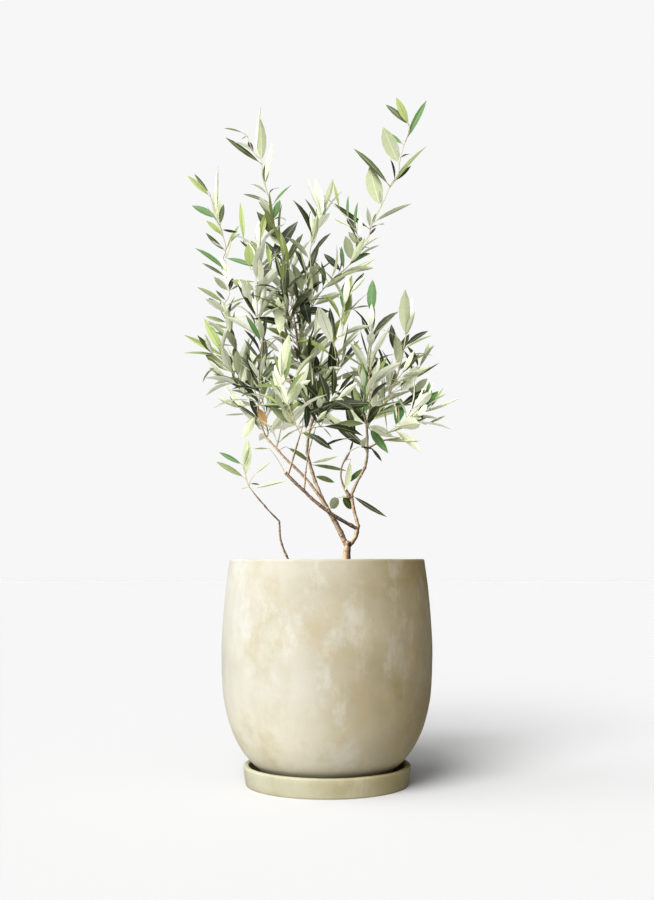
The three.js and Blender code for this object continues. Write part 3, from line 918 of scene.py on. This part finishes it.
# Leaves that are set one by one, on the most open shoots, on bare boughs and at the front of the
# crown. Each row is a leaf: its place along the limb or shoot, the way it points as a clock's hand
# seen from the front, in degrees, its length in millimetres, its shape and the tint of the side it
# shows. A twig that carries it out from the limb first adds its own clock angle and length.
SET_LEAVES = {
    "top_right": {
        "top_shoot_tip_leaves": [
            (1.0, -43, 52, "even", "olive"), (1.0, -26, 46, "broad", "fresh"),
            (0.75, 25, 82, "slim", "green"), (0.7, -44, 50, "even", "green"),
            (0.4, -24, 60, "wide", "moss"), (0.04, 37, 80, "slim", "grey"),
            (0.04, -39, 80, "slim", "olive"),
        ],
        "top_shoot_leaves": [
            (0.65, -15, 64, "wide", "moss"), (0.45, 56, 64, "slim", "moss"),
            (0.42, 20, 24, "even", "green"), (0.38, -57, 66, "slim", "olive"),
            (0.3, 36, 20, "even", "deep"), (0.15, -43, 27, "wide", "moss"),
            (0.04, 16, 27, "wide", "green"), (0.05, 48, 44, "thread", "sage"),
            (0.0, 31, 18, "even", "deep"),
        ],
        "top_side_leaves": [
            (1.0, -38, 28, "slim", "grey"), (0.85, -10, 42, "slim", "fresh"),
            (0.55, -4, 44, "slim", "green"), (0.3, 2, 48, "slim", "green"),
            (0.4, -62, 30, "slim", "sage"), (0.15, 4, 34, "broad", "pale"),
        ],
        "top_shoot_low_leaves": [
            (0.88, -13, 38, "wide", "moss"), (0.76, -7, 38, "even", "green"),
            (0.73, -41, 40, "broad", "deep"), (0.6, 64, 72, "slim", "moss"),
            (0.55, -30, 44, "slim", "olive"), (0.84, 40, 26, "even", "olive"),
        ],
    },
    "top_left": {
        "high_left_leaves": [
            (0.33, 34, 47, "slim", "green"), (0.13, 16, 31, "wide", "green"),
            (0.37, -63, 46, "slim", "olive"), (0.62, 0, 54, "even", "green"),
            (0.64, 9, 62, "slim", "pale"), (0.92, -54, 65, "slim", "olive"),
            (0.94, -2, 61, "broad", "moss"), (0.98, -7, 56, "even", "silver"),
            (0.2, -32, 34, "even", "grey"),
        ],
        "high_left_low_leaves": [
            (0.66, 31, 76, "broad", "deep", 240, 24), (0.72, -28, 38, "wide", "silver"),
            (0.55, -38, 52, "slim", "deep"), (0.3, 44, 46, "slim", "olive"),
        ],
        "centre_shoot_top_leaves": [
            (1.0, 22, 48, "even", "moss"), (0.6, -24, 44, "even", "olive"),
        ],
        "high_left_top_leaves": [
            (1.0, -66, 31, "slim", "olive"), (0.85, -120, 10, "even", "olive"),
            (0.2, 4, 66, "thread", "pale"), (0.6, -15, 18, "thread", "sage"),
        ],
    },
    "left": {
        "left_shoot_top_leaves": [
            (1.0, -37, 44, "slim", "olive"), (0.95, -48, 46, "even", "fresh"),
            (0.6, -57, 48, "broad", "green"), (0.55, -10, 58, "broad", "moss"),
            (0.68, -1, 68, "thread", "pale"), (0.72, 2, 30, "slim", "pale"),
            (0.35, -45, 34, "broad", "fresh"), (0.3, -21, 30, "even", "sage"),
            (0.45, 100, 24, "even", "deep"), (0.15, 24, 48, "slim", "fresh"),
            (0.12, -50, 40, "even", "olive"),
        ],
        "left_leaves": [
            (1.0, 0, 66, "broad", "sage", 75, 25), (0.98, -30, 45, "even", "green"),
            (0.75, -40, 40, "slim", "deep"), (0.5, -34, 46, "slim", "deep"),
        ],
        "left_shoot_leaves": [
            (0.8, -48, 62, "even", "green"), (0.7, -57, 42, "slim", "olive"),
            (0.3, -56, 48, "even", "grey"), (0.2, -54, 34, "even", "deep"),
            (0.34, -44, 24, "even", "deep"), (0.5, 52, 30, "slim", "olive"),
            (0.55, -12, 50, "broad", "pale"), (0.95, 20, 34, "slim", "sage"),
            (0.25, 62, 40, "slim", "grey"), (0.1, 85, 30, "broad", "pale"),
        ],
        "left_shoot_low_leaves": [
            (1.0, -72, 36, "even", "grey"), (0.92, -72, 34, "even", "grey"),
            (0.8, -65, 26, "even", "green"), (0.72, -82, 26, "slim", "moss"),
            (0.58, -31, 74, "even", "fresh", -95, 20), (0.58, -61, 70, "slim", "fresh", -95, 20),
            (0.58, -75, 62, "slim", "grey", -95, 20),
        ],
        "far_left_low_leaves": [
            (0.6, -58, 34, "slim", "sage"), (0.45, -66, 40, "slim", "olive"),
            (0.6, 22, 33, "wide", "sage"), (0.35, 12, 40, "broad", "silver"),
        ],
        "inner_left_leaves": [
            (1.0, 13, 54, "even", "fresh"), (1.0, -5, 64, "slim", "fresh", -80, 20),
            (0.78, -66, 50, "even", "green"), (0.75, -5, 36, "wide", "fresh", -75, 10),
            (0.55, -61, 40, "wide", "grey"), (0.55, 24, 52, "broad", "deep"),
            (0.72, -6, 46, "even", "fresh", 70, 20), (0.9, -50, 34, "slim", "deep"),
        ],
        "long_bough_rise": [
            (0.87, 158, 31, "wide", "dry"), (0.5, -52, 39, "slim", "deep"),
            (0.5, -23, 37, "broad", "deep"),
        ],
        "long_bough": [(0.8, 119, 43, "broad", "grey", 58, 12)],
        "cross_bough": [(1.0, -88, 22, "slim", "grey", -33, 38)],
    },
    "centre": {
        "centre_leaves": [(0.45, -10, 54, "even", "deep")],
        "leader_foot": [
            (0.8, 78, 41, "slim", "sage"), (0.78, 97, 54, "slim", "grey"),
            (0.58, 101, 36, "broad", "grey"),
        ],
        "leader": [(0.45, 60, 18, "slim", "deep", 35, 38), (0.6, 135, 20, "slim", "grey", 80, 18)],
        "leader_top": [(0.0, 121, 66, "slim", "deep", 110, 15)],
    },
    "front": {
        "high_front_leaves": [
            (0.3, -13, 62, "broad", "deep", 110, 34), (0.1, 7, 53, "even", "pale", 125, 40),
        ],
        "cross_bough_rise": [
            (0.9, 118, 24, "broad", "grey"), (1.0, 68, 57, "even", "deep", 5, 16),
        ],
        "front_left_leaves": [
            (0.86, -10, 34, "blunt", "pale"), (0.5, 25, 34, "blunt", "pale"),
            (1.0, 10, 60, "broad", "sage"), (0.7, 60, 40, "broad", "silver"),
            (0.6, 20, 50, "broad", "silver", 60, 14), (0.9, 34, 44, "even", "sage", 70, 16),
        ],
    },
    "right": {
        "right_crest_leaves": [
            (1.0, 0, 58, "broad", "green"), (0.14, -24, 35, "even", "deep"),
            (0.42, -3, 28, "wide", "pale", -85, 12),
        ],
        "right_limb_foot": [
            (0.85, -141, 20, "round", "moss", -83, 18),
            (0.85, 145, 23, "blunt", "olive", -72, 14),
        ],
        "right_limb_bend": [(0.02, 125, 58, "slim", "deep"), (1.0, -130, 32, "broad", "green")],
        "inner_twig": [
            (0.8, -174, 46, "broad", "sage", 70, 9), (1.0, 95, 21, "even", "deep", 60, 16),
            (1.0, 20, 20, "even", "olive"),
        ],
        "outer_branch": [
            (0.1, 138, 27, "even", "deep"), (0.5, 90, 48, "slim", "grey"),
            (0.7, 97, 44, "thread", "sage"),
        ],
        "far_right_leaves": [
            (0.5, 54, 55, "even", "deep", -3, 25), (0.97, 6, 40, "broad", "green", 100, 7),
            (1.0, 33, 36, "slim", "fresh", 100, 10), (0.85, 73, 62, "thread", "sage"),
            (0.65, 68, 30, "slim", "grey", 100, 26), (0.95, -8, 24, "even", "deep", 178, 20),
            (0.6, 60, 34, "wide", "silver"),
        ],
        "right_flare_leaves": [
            (0.2, 29, 46, "wide", "pale", 175, 16), (0.4, 43, 32, "wide", "moss", 150, 17),
        ],
        "right_shoot_leaves": [
            (0.51, 61, 46, "slim", "grey"), (0.64, 59, 46, "slim", "grey"),
            (0.72, -3, 70, "broad", "sage"), (0.76, -16, 40, "slim", "green"),
            (0.8, 12, 44, "slim", "pale"), (0.58, -8, 42, "broad", "deep", -60, 12),
            (0.45, -12, 42, "slim", "deep", -75, 18), (0.58, 30, 38, "broad", "olive", -80, 8),
        ],
    },
    "sucker": {
        "sucker_tip": [
            (1.0, -60, 46, "even", "grey", -22, 11), (1.0, 4, 55, "broad", "moss", -22, 11),
            (1.0, -61, 38, "even", "green", -14, 28), (1.0, 16, 29, "even", "moss", -16, 25),
            (1.0, 49, 28, "slim", "moss", 30, 17), (0.97, 90, 14, "even", "deep", 20, 4),
            (0.9, 75, 50, "thread", "moss"), (0.95, -100, 12, "slim", "fresh"),
        ],
    },
}

# Masses that bear only what SET_LEAVES gives them.
WHOLLY_SET = {
    "low_leaves", "knee_leaves", "inner_twig_leaves", "sucker_leaves", "high_left_side_leaves",
}
# Masses whose shoot grows bare, but for leaf pairs that point forwards and backwards.
BARE_SHOOTS = {
    "top_shoot_leaves", "top_shoot_tip_leaves", "top_side_leaves", "high_left_leaves",
    "high_left_top_leaves", "left_shoot_top_leaves", "left_shoot_leaves",
}
# Masses whose shoot carries leaf pairs but no side shoots.
SPARSE = {
    "top_shoot_low_leaves", "right_flare_leaves", "high_front_leaves", "left_skirt_leaves",
}
# The share of a shoot that grows leaves, where set leaves take over from there.
LEAFY_SHARES = {"right_shoot_leaves": 0.7, "right_crest_leaves": 0.86}
# How far a shoot runs to the right of the middle of its mass, at its foot and at its tip.
SIDESTEPS = {
    "top_shoot_low_leaves": (0, 7 * MM), "top_shoot_leaves": (7 * MM, 14 * MM),
    "top_shoot_tip_leaves": (24 * MM, 11 * MM), "top_side_leaves": (4 * MM, -8 * MM),
    "high_left_top_leaves": (-4 * MM, -20 * MM), "left_shoot_top_leaves": (6 * MM, 2 * MM),
}
# The stretches of bough that bear short shoots of their own, from one share of it to another.
LEAFY_LIMBS = {"leader": (0.75, 1), "leader_top": (0.05, 1), "cross_bough_rise": (0.85, 1)}

# How often each tint is dealt to a spray's upper sides, and to its undersides in most masses and
# in the dimmer ones, by shares that add up to 1.
UPPER_SIDES = {"deep": 0.4, "olive": 0.25, "green": 0.17, "grey": 0.1, "fresh": 0.08}
UNDERSIDES = {"moss": 0.06, "sage": 0.16, "silver": 0.3, "pale": 0.48}
DIM_UNDERSIDES = {"moss": 0.22, "fresh": 0.2, "sage": 0.33, "silver": 0.25}
DIM_MASSES = {"high_left_low_leaves", "centre_shoot_leaves", "high_front_leaves"}

# Grown leaves. A lean is the angle away from a shoot, in degrees: its mean, then its spread.
OPPOSITE = (0, math.pi)
LEAF_LENGTH = 66 * MM
LEAF_GAP = 16.5 * MM
LEAF_SIZES = (0.8, 1.12)
LEAF_LEAN = (66, 15)
LEAN_LOSS = 26  # how much less the last leaves of a shoot lean than its first
LEAF_ROLL = 0.45
LOST_LEAVES = 0.06  # the share of leaves that are missing from their pairs
ODD_TINTS = 0.15  # the share of leaves whose tints aren't those of their spray
UPTURN = 0.1 * UP  # how much leaves turn to the light
BARE_END = 5 * MM  # no pair grows so close to the young leaves at a shoot's tip
TIP_SHARE = 0.74  # the size of those young leaves, beside the others
TIP_SIZES = (0.7, 1.05)
TIP_LEANS = (10, 26)
# Shoots that grow from other shoots and from boughs.
SIDE_SIZE = 0.86  # the size of a side shoot's leaves, beside those of its shoot
SIDE_SHOOTS_END = 0.86  # the share of a shoot past which it bears no side shoots
SIDE_SHOOT_LEAN = (42, 7)
SIDE_SHOOT_LEAST = 14 * MM
SIDE_SHOOT_MOST = 90 * MM
LIMB_SHOOT_LEAN = (56, 8)
LIMB_SHOOT_LENGTHS = (16, 40)  # in millimetres
LIMB_SHOOT_GAP = 13 * MM
SPUR_GAP = 15 * MM
SPURS_AT_A_JOINT = 2
BARE_PAIR_GAP = 36 * MM
SPINE_SLICES = 6
TWIG_STEP = 8 * MM
TWIG_SIDES = 5
TWIG_TIP = 0.45 * MM
# Where the random numbers start for set leaves and for limb shoots, past those of the masses.
SET_SEED = 500
SHOOT_SEED = 600


def laid(point, along, upper, size):
    """The matrix that lays a leaf from a point, along a direction, with its upper side up."""
    y = along.normalized()
    x = y.cross(upper).normalized()
    turn = Matrix((x, y, x.cross(y))).transposed().to_4x4()
    return Matrix.Translation(point) @ turn @ Matrix.Scale(size, 4)


def shortened(points, length):
    """A line of points with a length taken off its end."""
    while len(points) > 2 and (points[-1] - points[-2]).length <= length:
        length -= (points[-1] - points[-2]).length
        points = points[:-1]
    last = points[-1] - points[-2]
    return [*points[:-1], points[-1] - last.normalized() * min(length, 0.8 * last.length)]


def pointing(clock, back):
    """The direction of a clock's hand seen from the front, turned backwards by an angle."""
    angle = math.radians(clock)
    flat = math.cos(back)
    return Vector((math.sin(angle) * flat, math.sin(back), math.cos(angle) * flat))


def arched(foot, along, turn, length, radii):
    """The path of a twig that sets out along a direction and turns a little from it."""
    middle = foot + along * length * 0.5
    tip = foot + (along + turn).normalized() * length
    return Path([foot, middle, tip], radii, TWIG_STEP)


class Grower:
    """Grows the twigs and leaves of one mass inside its CAD solid."""

    def __init__(self, node, number, leaves, twigs):
        self.node = node
        self.draw = np.random.default_rng([SEED, 100 + number])
        self.leaves = leaves
        self.twigs = twigs
        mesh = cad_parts[node].data
        self.skin = BVHTree.FromPolygons(
            [v.co for v in mesh.vertices], [list(p.vertices) for p in mesh.polygons]
        )

    def room(self, point, direction):
        """How far the mass reaches from a point, along a direction."""
        hit, _, _, distance = self.skin.ray_cast(point, direction)
        return distance if hit else 0.0

    def holds(self, point, slack=0.0):
        """Whether a point is inside the mass, or within a slack of it."""
        _, normal, _, _ = self.skin.ray_cast(point, UP)
        inside = normal is not None and normal.z > 0
        return inside or self.skin.find_nearest(point)[3] < slack

    def deal(self, shares):
        """One tint, drawn by how often each is dealt."""
        return self.draw.choice(list(shares), p=list(shares.values()))

    def choose_tints(self):
        """Deals a spray its tints of upper side and underside."""
        top = self.deal(UPPER_SIDES)
        return top, self.deal(DIM_UNDERSIDES if self.node in DIM_MASSES else UNDERSIDES)

    def leaf(self, foot, along, upper, size, tints, shape=None):
        shape = shape or LEAF_SHAPES[self.draw.integers(len(LEAF_SHAPES))]
        kinds = [TINT_PLACE[tint] for tint in (*tints, "top_rib", "under_rib")]
        self.leaves.add(shape, laid(foot, along, upper, size), kinds)

    def twig(self, path):
        """Adds a bare twig along a path."""
        bm = bmesh.new()
        tube(bm, path.points, path.radii, TWIG_SIDES)
        bmesh.ops.recalc_face_normals(bm, faces=bm.faces)
        self.twigs.add(Shape(bm))

    def fitted(self, foot, heading, out, lean, length):
        """A leaf's direction and length, leaning out as far as the mass leaves room."""
        for _ in range(3):
            along = (leaning(heading, out, lean) + UPTURN).normalized()
            if self.room(foot, along) > 0.62 * length:
                return along, length
            lean *= 0.84
        return along, length * 0.92

    def pair(self, path, distance, angle, size, tints):
        """Two leaves that face each other on a shoot."""
        draw = self.draw
        heading = path.heading(distance)
        for side in OPPOSITE:
            if draw.random() < LOST_LEAVES:
                continue
            out = square_to(heading, angle + side + draw.normal(0, 0.18))
            share = distance / path.length
            mean, spread = LEAF_LEAN
            lean = float(np.clip(draw.normal(mean - LEAN_LOSS * share, spread), 15, 105))
            lean = math.radians(lean)
            length = size * draw.uniform(*LEAF_SIZES)
            foot = path.at(distance) + out * path.radius(distance) * 0.7
            along, length = self.fitted(foot, heading, out, lean, length)
            upper = heading * math.sin(lean) - out * math.cos(lean)
            upper = Matrix.Rotation(draw.normal(0, LEAF_ROLL), 3, along) @ upper
            if draw.random() < ODD_TINTS:
                tints = self.choose_tints()
            self.leaf(foot, along, upper, length, tints)

    def tip(self, path, angle, size, tints):
        """The young leaves at a shoot's end."""
        draw = self.draw
        heading = path.heading(path.length)
        foot = path.at(path.length)
        fresh = tints if draw.random() < 0.5 else ("fresh", tints[1])
        for side in OPPOSITE:
            out = square_to(heading, angle + side)
            lean = math.radians(draw.uniform(*TIP_LEANS))
            along = leaning(heading, out, lean)
            upper = heading * math.sin(lean) - out * math.cos(lean)
            length = size * draw.uniform(*TIP_SIZES)
            self.leaf(foot, along, upper, length, fresh, YOUNG_SHAPE)

    def shoot(self, path, first, size, side_shoots=False):
        """A twig with leaf pairs from a distance on, young leaves and maybe side shoots."""
        draw = self.draw
        self.twig(path)
        tints = self.choose_tints()
        angle = draw.uniform(0, math.tau)
        distance = first
        while distance < path.length - BARE_END:
            share = distance / path.length
            grown = size * (1.0 - 0.2 * max(0, share - 0.45) / 0.55)
            self.pair(path, distance, angle, grown, tints)
            if side_shoots and share < SIDE_SHOOTS_END:
                for side in OPPOSITE:
                    self.side_shoot(path, distance, angle + side + draw.normal(0, 0.3), size)
            angle += math.pi / 2 + draw.normal(0, 0.15)
            distance += LEAF_GAP * draw.uniform(0.75, 1.25)
        self.tip(path, angle, size * TIP_SHARE, tints)

    def side_shoot(self, path, distance, angle, size):
        """A shoot that leans out from a path, where the mass has room for one."""
        draw = self.draw
        heading = path.heading(distance)
        lean = math.radians(draw.normal(*SIDE_SHOOT_LEAN))
        along = leaning(heading, square_to(heading, angle), lean).normalized()
        foot = path.at(distance)
        length = self.room(foot, along) - 0.5 * size
        if length < SIDE_SHOOT_LEAST:
            return
        length = min(length, SIDE_SHOOT_MOST) * draw.uniform(0.75, 1.0)
        turn = (heading * 0.25 + UP * 0.15) * 0.5
        radius = min(path.radius(distance) * 0.7, 0.8 * MM)
        twig = arched(foot, along, turn, length, [radius, radius * 0.85, TWIG_TIP])
        self.shoot(twig, draw.uniform(8, 12) * MM, size * SIDE_SIZE)

    def spurs(self, size):
        """Short shoots on the boughs that pass through the mass."""
        draw = self.draw
        for node in limb_order():
            path = paths[node]
            mark = draw.uniform(6, 20) * MM
            while mark < path.length:
                if self.holds(path.at(mark)):
                    for _ in range(SPURS_AT_A_JOINT):
                        self.side_shoot(path, mark, draw.uniform(0, math.tau), size)
                mark += SPUR_GAP * draw.uniform(0.8, 1.2)

    def limb_shoots(self, path, start, stop, size):
        """Short leafy shoots all round a stretch of bough."""
        draw = self.draw
        angle = draw.uniform(0, math.tau)
        for mark in np.arange(start * path.length, stop * path.length, LIMB_SHOOT_GAP):
            heading = path.heading(mark)
            foot = path.at(mark)
            for side in OPPOSITE:
                lean = math.radians(draw.normal(*LIMB_SHOOT_LEAN))
                along = leaning(heading, square_to(heading, angle + side), lean)
                length = draw.uniform(*LIMB_SHOOT_LENGTHS) * MM
                twig = arched(foot, along, UP * 0.2, length, [0.8 * MM, 0.7 * MM, TWIG_TIP])
                self.shoot(twig, draw.uniform(7, 11) * MM, size * draw.uniform(0.75, 1))
            angle += math.radians(100) + draw.normal(0, 0.2)

    def bare_shoot(self, path, size):
        """A twig whose leaves are set, but for pairs that point forwards and backwards."""
        self.twig(path)
        for distance in np.arange(14 * MM, path.length - 24 * MM, BARE_PAIR_GAP):
            heading = path.heading(distance)
            angle = square_to(heading, 0).angle(heading.cross(Vector((1, 0, 0))))
            self.pair(path, distance, angle, size * 0.6, self.choose_tints())

    def set_twig(self, foot, clock, length):
        """A bare twig of a length in millimetres that carries a set leaf. Gives its tip."""
        tip = foot + pointing(clock, self.draw.normal(0, 0.15)) * length * MM
        middle = foot.lerp(tip, 0.5) + 0.06 * length * MM * UP
        self.twig(Path([foot, middle, tip], [0.7 * MM, 0.6 * MM, TWIG_TIP], 4 * MM))
        return tip

    def set_leaf(self, path, share, clock, length, shape, tint, twig_clock=0, twig_length=0):
        """One leaf of SET_LEAVES."""
        draw = self.draw
        foot = path.at(share * path.length)
        if twig_length:
            foot = self.set_twig(foot, twig_clock, twig_length)
        along = pointing(clock, draw.normal(0, 0.2))
        top, under = self.choose_tints()
        shows_top = tint not in UNDERSIDES
        tints = (tint, under) if shows_top else (top, tint)
        if tint == "dry":
            tints = (tint, tint)
        upper = Vector((0, -1 if shows_top else 1, 0.3))
        upper = Matrix.Rotation(draw.normal(0, 0.35), 3, along) @ upper
        self.leaf(foot, along, upper, length * MM, tints, SET_SHAPES[shape])

    def trace_leader(self):
        """The mass's leader from its carrier on, where it enters the mass, and its leaves' size."""
        draw = self.draw
        carrier = paths[CARRIER[self.node]]
        end = carrier.at(carrier.length)
        from_end = is_limb(CARRIER[self.node]) and self.holds(end, 6 * MM)
        start = end if from_end else near_end(self.node, carrier)
        centres, radii = spine(self.node, start, SPINE_SLICES)
        mark = carrier.length if from_end else carrier.nearest(centres[0])
        centres = [Vector(c) for c in centres]
        narrowing = np.interp(np.mean(radii), [10 * MM, 24 * MM], [0.85, 1.0])
        size = LEAF_LENGTH * float(narrowing)
        spare = 0 if self.node in CARRIES else TIP_SHARE * size
        points = [carrier.at(mark), *shortened(centres[1:], spare)]
        for point in points[2:-1]:
            point += Vector(draw.normal(0, 1.2 * MM, 3))
        thick = min(carrier.radius(mark) * 0.8, 1.5 * MM)
        thin = 0.75 * MM if self.node in CARRIES else TWIG_TIP
        sidestep = SIDESTEPS.get(self.node, (0, 0))
        for point, shift in zip(points[1:], np.linspace(*sidestep, len(points) - 1)):
            point.x += shift
        path = Path(points, np.linspace(thick, thin, len(points)), TWIG_STEP)
        return path, path.nearest(centres[0].lerp(centres[1], 0.5)), size

    def grow(self):
        """Grows the mass's leader, with all that it bears."""
        path, entry, size = self.trace_leader()
        paths[self.node] = path
        if self.node in WHOLLY_SET:
            return
        if self.node in BARE_SHOOTS:
            self.bare_shoot(path, size)
            return
        count = math.ceil(len(path.points) * LEAFY_SHARES.get(self.node, 1))
        leafy = Path(path.points[:count], path.radii[:count], TWIG_STEP)
        self.shoot(leafy, entry, size, self.node not in SPARSE)
        self.spurs(size * SIDE_SIZE)


def mass_order():
    """Every mass, each after its carrier."""
    order = limb_order()
    for node in order:
        order += [n for n in CARRIES.get(node, []) if n not in order]
    return [n for n in order if not is_limb(n)]


def make_crown():
    region_of = {node: region for region, nodes in REGIONS.items() for node in nodes}
    leaves = {region: Heap() for region in REGIONS}
    twigs = {region: Heap() for region in REGIONS}
    for i, node in enumerate(mass_order()):
        region = region_of[node]
        Grower(node, i, leaves[region], twigs[region]).grow()
    grower = Grower("core_leaves", SHOOT_SEED, leaves["centre"], twigs["centre"])
    for node, (start, stop) in LEAFY_LIMBS.items():
        grower.limb_shoots(paths[node], start, stop, SIDE_SIZE * LEAF_LENGTH)
    for region, sets in SET_LEAVES.items():
        grower = Grower(REGIONS[region][0], SET_SEED, leaves[region], twigs[region])
        for carrier, rows in sets.items():
            for row in rows:
                grower.set_leaf(paths[carrier], *row)
    for region, nodes in REGIONS.items():
        tints = LEAF_TINTS.values()
        piece_from(f"leaves_{region}", leaves[region].mesh(), tints, nodes)
        piece_from(f"twigs_{region}", twigs[region].mesh(), [TWIG_FINISH])


# ------------------------------------------------------------------ studio
PAPER = 0.93  # how bright the backdrop and the lit floor show
FILL = 0.07  # how bright the glow all round is
# Each sun: its strength, how wide it is, and the compass and height it shines from, in degrees,
# with 0 in front and 90 on the left.
SUNS = {
    "key": {"energy": 5.1, "angle": 32, "compass": 28, "height": 46},
    "side": {"energy": 1.3, "angle": 44, "compass": 74, "height": 50},
    "front": {"energy": 1.5, "angle": 36, "compass": 12, "height": 26},
    "overhead": {"energy": 1.0, "angle": 80, "compass": 0, "height": 90},
}
FLOOR_HALF = 15
CAMERA_SPOT = (0, -1.6, 0.301)
CAMERA_TILT = 5.37  # upwards, in degrees
CAMERA_LENS = 46.4  # in millimetres
CAMERA_REACH = 200


def make_lights():
    """The soft suns, and a world that glows faintly but shows as bright paper."""
    world = bpy.data.worlds.new("studio")
    bpy.context.scene.world = world
    nodes = Nodes(world)
    seen = nodes.add("LightPath", output="Is Camera Ray")
    backdrop = world.node_tree.nodes["Background"]
    nodes.feed(backdrop.inputs["Color"], (1, 1, 1, 1))
    nodes.feed(backdrop.inputs["Strength"], FILL + seen * (PAPER - FILL))
    for name, settings in SUNS.items():
        sun = bpy.data.lights.new(name, "SUN")
        sun.energy = settings["energy"]
        sun.angle = math.radians(settings["angle"])
        tilt = math.radians(90 - settings["height"])
        placed(name, sun).rotation_euler = (tilt, 0, -math.radians(settings["compass"]))


def make_floor():
    """A pale floor that shows as bright as the backdrop, so that no horizon parts them."""
    bm = bmesh.new()
    bmesh.ops.create_grid(bm, x_segments=1, y_segments=1, size=FLOOR_HALF)
    floor = placed("floor", mesh_of(bm))
    lit = sum(sun["energy"] * math.sin(math.radians(sun["height"])) for sun in SUNS.values())
    tone = PAPER / (FILL + lit / math.pi)
    nodes = Nodes(bpy.data.materials.new("floor_paper"))
    floor.data.materials.append(
        nodes.surface(Base_Color=(tone, tone, tone, 1), Roughness=1.0, Specular_IOR_Level=0.0)
    )


def make_camera():
    lens = bpy.data.cameras.new("camera")
    lens.lens = CAMERA_LENS
    lens.clip_end = CAMERA_REACH
    camera = placed("camera", lens)
    camera.location = CAMERA_SPOT
    camera.rotation_euler = (math.radians(90 + CAMERA_TILT), 0, 0)
    bpy.context.scene.camera = camera
    bpy.context.scene.view_settings.view_transform = "Standard"


make_planter()
make_saucer()
make_soil()
make_grit()
make_wood()
make_crown()
make_lights()
make_floor()
make_camera()
